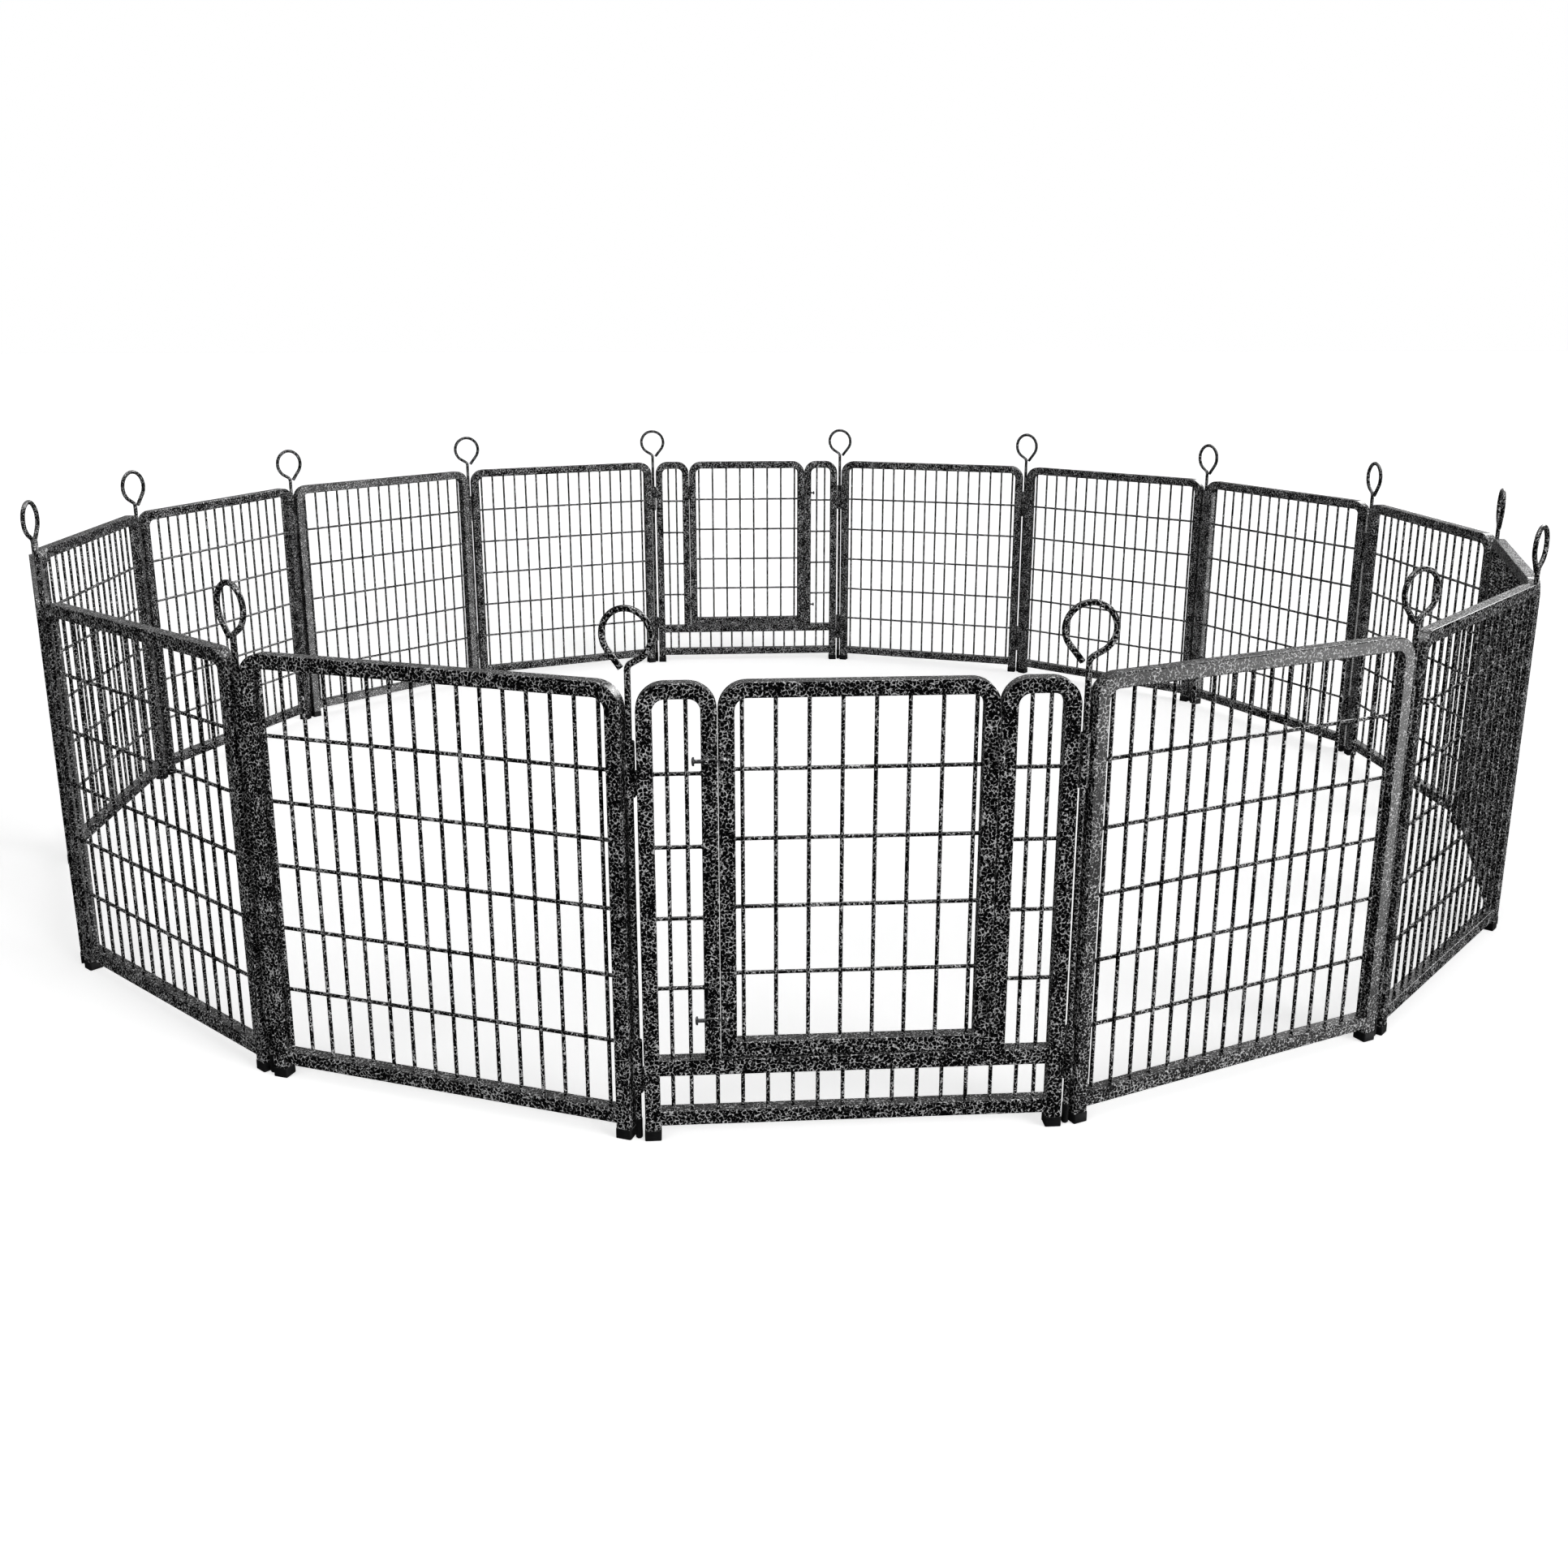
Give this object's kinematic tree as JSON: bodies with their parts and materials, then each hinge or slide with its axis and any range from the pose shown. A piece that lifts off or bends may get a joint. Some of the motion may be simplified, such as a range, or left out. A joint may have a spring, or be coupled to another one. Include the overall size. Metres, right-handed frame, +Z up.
{
  "type": "pet playpen",
  "caption": "Round folding pet playpen of square-tube and wire-grille panels joined by ring-topped lift-out hinge pins, with latched swing doors.",
  "frame": {"origin": "centre of the ring of panels, on the floor", "axes": "+Z up; -Y from the centre out through the front door panel"},
  "size_m": [2.8572, 2.8654, 0.7037],
  "materials": {
    "vein_coat": "black powder coat with a fine silver vein",
    "cap_plastic": "moulded, matt",
    "bolt_metal": "dark grey coat, worn at the knob"
  },
  "bodies": {
    "front_door": {"front_door_wing_left": "vein_coat", "front_door_wing_right": "vein_coat", "front_door_sill_grille": "vein_coat", "front_door_feet": "cap_plastic"},
    "front_door_leaf": {"front_door_leaf": "vein_coat"},
    "front_door_bolt_upper": {"front_door_bolt_upper": "bolt_metal"},
    "front_door_bolt_lower": {"front_door_bolt_lower": "bolt_metal"},
    "panel_01": {"panel_01": "vein_coat", "panel_01_feet": "cap_plastic"},
    "panel_02": {"panel_02": "vein_coat", "panel_02_feet": "cap_plastic"},
    "panel_03": {"panel_03": "vein_coat", "panel_03_feet": "cap_plastic"},
    "panel_04": {"panel_04": "vein_coat", "panel_04_feet": "cap_plastic"},
    "panel_05": {"panel_05": "vein_coat", "panel_05_feet": "cap_plastic"},
    "panel_06": {"panel_06": "vein_coat", "panel_06_feet": "cap_plastic"},
    "panel_07": {"panel_07": "vein_coat", "panel_07_feet": "cap_plastic"},
    "back_door": {"back_door_wing_left": "vein_coat", "back_door_wing_right": "vein_coat", "back_door_sill_grille": "vein_coat", "back_door_feet": "cap_plastic"},
    "back_door_leaf": {"back_door_leaf": "vein_coat"},
    "back_door_bolt_upper": {"back_door_bolt_upper": "bolt_metal"},
    "back_door_bolt_lower": {"back_door_bolt_lower": "bolt_metal"},
    "panel_09": {"panel_09": "vein_coat", "panel_09_feet": "cap_plastic"},
    "panel_10": {"panel_10": "vein_coat", "panel_10_feet": "cap_plastic"},
    "panel_11": {"panel_11": "vein_coat", "panel_11_feet": "cap_plastic"},
    "panel_12": {"panel_12": "vein_coat", "panel_12_feet": "cap_plastic"},
    "panel_13": {"panel_13": "vein_coat", "panel_13_feet": "cap_plastic"},
    "panel_14": {"panel_14": "vein_coat", "panel_14_feet": "cap_plastic"},
    "panel_15": {"panel_15": "vein_coat", "panel_15_feet": "cap_plastic"},
    "pin_00": {"pin_00": "vein_coat"},
    "pin_01": {"pin_01": "vein_coat"},
    "pin_02": {"pin_02": "vein_coat"},
    "pin_03": {"pin_03": "vein_coat"},
    "pin_04": {"pin_04": "vein_coat"},
    "pin_05": {"pin_05": "vein_coat"},
    "pin_06": {"pin_06": "vein_coat"},
    "pin_07": {"pin_07": "vein_coat"},
    "pin_08": {"pin_08": "vein_coat"},
    "pin_09": {"pin_09": "vein_coat"},
    "pin_10": {"pin_10": "vein_coat"},
    "pin_11": {"pin_11": "vein_coat"},
    "pin_12": {"pin_12": "vein_coat"},
    "pin_13": {"pin_13": "vein_coat"},
    "pin_14": {"pin_14": "vein_coat"},
    "pin_15": {"pin_15": "vein_coat"}
  },
  "joints": [
    {"name": "fold_00", "type": "hinge", "parent": "front_door", "child": "panel_01", "pos_m": [0.28093, -1.41233, 0.3], "axis": [0, 0, 1], "range_deg": [-22.5, 22.5]},
    {"name": "fold_01", "type": "hinge", "parent": "panel_01", "child": "panel_02", "pos_m": [0.80002, -1.19732, 0.3], "axis": [0, 0, 1], "range_deg": [-22.5, 22.5]},
    {"name": "fold_02", "type": "hinge", "parent": "panel_02", "child": "panel_03", "pos_m": [1.19732, -0.80002, 0.3], "axis": [0, 0, 1], "range_deg": [-22.5, 22.5]},
    {"name": "fold_03", "type": "hinge", "parent": "panel_03", "child": "panel_04", "pos_m": [1.41233, -0.28093, 0.3], "axis": [0, 0, 1], "range_deg": [-22.5, 22.5]},
    {"name": "fold_04", "type": "hinge", "parent": "panel_04", "child": "panel_05", "pos_m": [1.41233, 0.28093, 0.3], "axis": [0, 0, 1], "range_deg": [-22.5, 22.5]},
    {"name": "fold_05", "type": "hinge", "parent": "panel_05", "child": "panel_06", "pos_m": [1.19732, 0.80002, 0.3], "axis": [0, 0, 1], "range_deg": [-22.5, 22.5]},
    {"name": "fold_06", "type": "hinge", "parent": "panel_06", "child": "panel_07", "pos_m": [0.80002, 1.19732, 0.3], "axis": [0, 0, 1], "range_deg": [-22.5, 22.5]},
    {"name": "fold_07", "type": "hinge", "parent": "panel_07", "child": "back_door", "pos_m": [0.28093, 1.41233, 0.3], "axis": [0, 0, 1], "range_deg": [-22.5, 22.5]},
    {"name": "fold_09", "type": "hinge", "parent": "panel_10", "child": "panel_09", "pos_m": [-0.80002, 1.19732, 0.3], "axis": [0, 0, -1], "range_deg": [-22.5, 22.5]},
    {"name": "fold_10", "type": "hinge", "parent": "panel_11", "child": "panel_10", "pos_m": [-1.19732, 0.80002, 0.3], "axis": [0, 0, -1], "range_deg": [-22.5, 22.5]},
    {"name": "fold_11", "type": "hinge", "parent": "panel_12", "child": "panel_11", "pos_m": [-1.41233, 0.28093, 0.3], "axis": [0, 0, -1], "range_deg": [-22.5, 22.5]},
    {"name": "fold_12", "type": "hinge", "parent": "panel_13", "child": "panel_12", "pos_m": [-1.41233, -0.28093, 0.3], "axis": [0, 0, -1], "range_deg": [-22.5, 22.5]},
    {"name": "fold_13", "type": "hinge", "parent": "panel_14", "child": "panel_13", "pos_m": [-1.19732, -0.80002, 0.3], "axis": [0, 0, -1], "range_deg": [-22.5, 22.5]},
    {"name": "fold_14", "type": "hinge", "parent": "panel_15", "child": "panel_14", "pos_m": [-0.80002, -1.19732, 0.3], "axis": [0, 0, -1], "range_deg": [-22.5, 22.5]},
    {"name": "fold_15", "type": "hinge", "parent": "front_door", "child": "panel_15", "pos_m": [-0.28093, -1.41233, 0.3], "axis": [0, 0, -1], "range_deg": [-22.5, 22.5]},
    {"name": "pin_00_lift", "type": "slide", "parent": "front_door", "child": "pin_00", "axis": [0, 0, 1], "range_m": [0, 0.56]},
    {"name": "pin_01_lift", "type": "slide", "parent": "panel_01", "child": "pin_01", "axis": [0, 0, 1], "range_m": [0, 0.56]},
    {"name": "pin_02_lift", "type": "slide", "parent": "panel_02", "child": "pin_02", "axis": [0, 0, 1], "range_m": [0, 0.56]},
    {"name": "pin_03_lift", "type": "slide", "parent": "panel_03", "child": "pin_03", "axis": [0, 0, 1], "range_m": [0, 0.56]},
    {"name": "pin_04_lift", "type": "slide", "parent": "panel_04", "child": "pin_04", "axis": [0, 0, 1], "range_m": [0, 0.56]},
    {"name": "pin_05_lift", "type": "slide", "parent": "panel_05", "child": "pin_05", "axis": [0, 0, 1], "range_m": [0, 0.56]},
    {"name": "pin_06_lift", "type": "slide", "parent": "panel_06", "child": "pin_06", "axis": [0, 0, 1], "range_m": [0, 0.56]},
    {"name": "pin_07_lift", "type": "slide", "parent": "panel_07", "child": "pin_07", "axis": [0, 0, 1], "range_m": [0, 0.56]},
    {"name": "pin_08_lift", "type": "slide", "parent": "back_door", "child": "pin_08", "axis": [0, 0, 1], "range_m": [0, 0.56]},
    {"name": "pin_09_lift", "type": "slide", "parent": "panel_09", "child": "pin_09", "axis": [0, 0, 1], "range_m": [0, 0.56]},
    {"name": "pin_10_lift", "type": "slide", "parent": "panel_10", "child": "pin_10", "axis": [0, 0, 1], "range_m": [0, 0.56]},
    {"name": "pin_11_lift", "type": "slide", "parent": "panel_11", "child": "pin_11", "axis": [0, 0, 1], "range_m": [0, 0.56]},
    {"name": "pin_12_lift", "type": "slide", "parent": "panel_12", "child": "pin_12", "axis": [0, 0, 1], "range_m": [0, 0.56]},
    {"name": "pin_13_lift", "type": "slide", "parent": "panel_13", "child": "pin_13", "axis": [0, 0, 1], "range_m": [0, 0.56]},
    {"name": "pin_14_lift", "type": "slide", "parent": "panel_14", "child": "pin_14", "axis": [0, 0, 1], "range_m": [0, 0.56]},
    {"name": "pin_15_lift", "type": "slide", "parent": "panel_15", "child": "pin_15", "axis": [0, 0, 1], "range_m": [0, 0.56]},
    {"name": "front_door_swing", "type": "hinge", "parent": "front_door", "child": "front_door_leaf", "pos_m": [0.1736, -1.42773, 0.35], "axis": [0, 0, 1], "range_deg": [0, 170]},
    {"name": "front_door_bolt_upper_slide", "type": "slide", "parent": "front_door", "child": "front_door_bolt_upper", "axis": [1, 0, 0], "range_m": [0, 0.008]},
    {"name": "front_door_bolt_lower_slide", "type": "slide", "parent": "front_door", "child": "front_door_bolt_lower", "axis": [1, 0, 0], "range_m": [0, 0.008]},
    {"name": "back_door_swing", "type": "hinge", "parent": "back_door", "child": "back_door_leaf", "pos_m": [-0.1736, 1.42773, 0.35], "axis": [0, 0, 1], "range_deg": [0, 170]},
    {"name": "back_door_bolt_upper_slide", "type": "slide", "parent": "back_door", "child": "back_door_bolt_upper", "axis": [-1, 0, 0], "range_m": [0, 0.008]},
    {"name": "back_door_bolt_lower_slide", "type": "slide", "parent": "back_door", "child": "back_door_bolt_lower", "axis": [-1, 0, 0], "range_m": [0, 0.008]}
  ],
  "couplings": [
    {"joint": "fold_01", "follows": "fold_00", "ratio": -1},
    {"joint": "fold_02", "follows": "fold_00", "ratio": -1},
    {"joint": "fold_03", "follows": "fold_00", "ratio": 1},
    {"joint": "fold_04", "follows": "fold_00", "ratio": 1},
    {"joint": "fold_05", "follows": "fold_00", "ratio": -1},
    {"joint": "fold_06", "follows": "fold_00", "ratio": -1},
    {"joint": "fold_07", "follows": "fold_00", "ratio": 1},
    {"joint": "fold_09", "follows": "fold_00", "ratio": -1},
    {"joint": "fold_10", "follows": "fold_00", "ratio": -1},
    {"joint": "fold_11", "follows": "fold_00", "ratio": 1},
    {"joint": "fold_12", "follows": "fold_00", "ratio": 1},
    {"joint": "fold_13", "follows": "fold_00", "ratio": -1},
    {"joint": "fold_14", "follows": "fold_00", "ratio": -1},
    {"joint": "fold_15", "follows": "fold_00", "ratio": 1}
  ]
}
